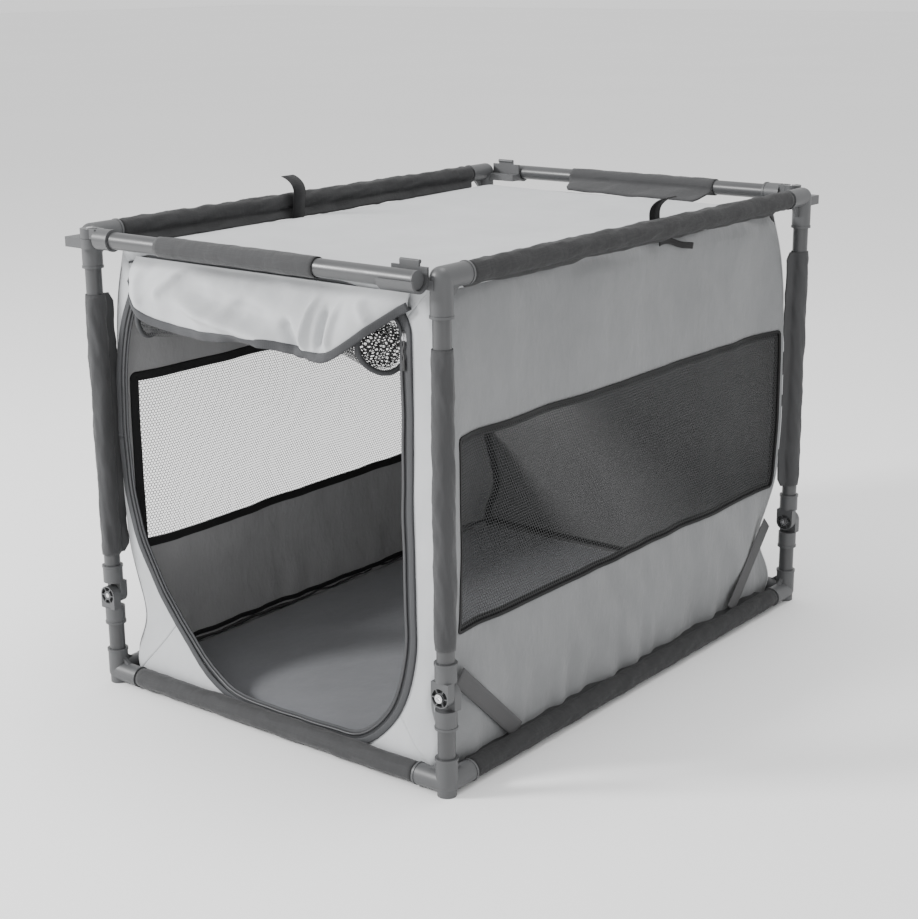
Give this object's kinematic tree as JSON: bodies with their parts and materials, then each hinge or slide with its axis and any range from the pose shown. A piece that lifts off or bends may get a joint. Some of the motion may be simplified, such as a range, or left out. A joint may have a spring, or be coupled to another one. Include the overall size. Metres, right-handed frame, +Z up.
{
  "type": "folding soft pet crate",
  "caption": "Fabric pet crate hung in a folding frame of grey tubes, with mesh windows and a rolled-up zip door.",
  "frame": {"origin": "middle of the footprint, on the floor that the four feet stand on", "axes": "+Z up, +Y from the door to the rear wall, +X to the right seen from the door"},
  "size_m": [0.6126, 0.9304, 0.664],
  "materials": {
    "tube_paint": "satin",
    "fitting_plastic": "satin",
    "light_cloth": "matte",
    "dark_cloth": "matte",
    "mat_cloth": "matte",
    "window_mesh": "matte",
    "zip_tape": "matte",
    "grey_webbing": "matte",
    "black_webbing": "matte",
    "black_plastic": "matte",
    "bright_steel": "polished"
  },
  "bodies": {
    "base": {"base_rail_front": "tube_paint", "base_rail_rear": "tube_paint", "base_rail_left": "tube_paint", "base_rail_right": "tube_paint", "base_corner_fl": "fitting_plastic", "base_corner_fr": "fitting_plastic", "base_corner_bl": "fitting_plastic", "base_corner_br": "fitting_plastic", "base_stubs": "tube_paint", "lower_knuckles": "fitting_plastic", "knuckle_pins": "bright_steel", "base_sleeves": "dark_cloth", "floor_board": "dark_cloth", "floor_mat": "mat_cloth", "corner_straps": "grey_webbing", "front_panel": "light_cloth", "door_tape": "zip_tape", "door_roll": "light_cloth", "rear_panel": "light_cloth", "roof_panel": "light_cloth", "left_skirt": "light_cloth", "right_skirt": "light_cloth"},
    "left_side": {"left_posts": "tube_paint", "left_top_rail": "tube_paint", "left_front_corner": "fitting_plastic", "left_rear_corner": "fitting_plastic", "left_knuckles": "fitting_plastic", "left_post_sleeves": "dark_cloth", "left_rail_sleeve": "dark_cloth", "left_rail_strap": "black_webbing", "left_wall": "light_cloth", "left_window": "window_mesh", "left_binding": "black_webbing", "front_strut_pin": "bright_steel"},
    "right_side": {"right_posts": "tube_paint", "right_top_rail": "tube_paint", "right_front_corner": "fitting_plastic", "right_rear_corner": "fitting_plastic", "right_knuckles": "fitting_plastic", "right_post_sleeves": "dark_cloth", "right_rail_sleeve": "dark_cloth", "right_rail_strap": "black_webbing", "right_wall": "light_cloth", "right_window": "window_mesh", "right_binding": "black_webbing", "rear_strut_pin": "bright_steel"},
    "front_bar": {"front_strut": "tube_paint", "front_strut_hinge": "fitting_plastic", "front_strut_sleeve": "dark_cloth", "front_strut_plug": "fitting_plastic"},
    "rear_bar": {"rear_strut": "tube_paint", "rear_strut_hinge": "fitting_plastic", "rear_strut_sleeve": "dark_cloth", "rear_strut_plug": "fitting_plastic"},
    "slider": {"zip_slider": "bright_steel"},
    "pull": {"zip_pull": "black_plastic"}
  },
  "joints": [
    {"name": "left_fold", "type": "hinge", "parent": "base", "child": "left_side", "pos_m": [-0.292, 0, 0.129], "axis": [0, 1, 0], "range_deg": [0, 94], "deforming": ["front_panel", "door_tape", "door_roll", "roof_panel", "left_skirt", "left_wall", "left_window", "left_binding"]},
    {"name": "right_fold", "type": "hinge", "parent": "base", "child": "right_side", "pos_m": [0.292, 0, 0.129], "axis": [0, -1, 0], "range_deg": [0, 81], "deforming": ["rear_panel", "right_skirt", "right_wall", "right_window", "right_binding"]},
    {"name": "front_bar_swing", "type": "hinge", "parent": "left_side", "child": "front_bar", "pos_m": [-0.262, -0.45, 0.626], "axis": [0, 0, 1], "range_deg": [0, 90]},
    {"name": "rear_bar_swing", "type": "hinge", "parent": "right_side", "child": "rear_bar", "pos_m": [0.262, 0.45, 0.626], "axis": [0, 0, 1], "range_deg": [0, 90]},
    {"name": "zip_slide", "type": "slide", "parent": "base", "child": "slider", "axis": [0, 0, -1], "range_m": [0, 0.33]},
    {"name": "pull_swing", "type": "hinge", "parent": "slider", "child": "pull", "pos_m": [0.224, -0.409, 0.549], "axis": [-1, 0, 0], "range_deg": [0, 150]}
  ],
  "couplings": [
    {"joint": "front_bar_swing", "follows": "left_fold", "ratio": 0.9574},
    {"joint": "rear_bar_swing", "follows": "right_fold", "ratio": 1.1111}
  ]
}
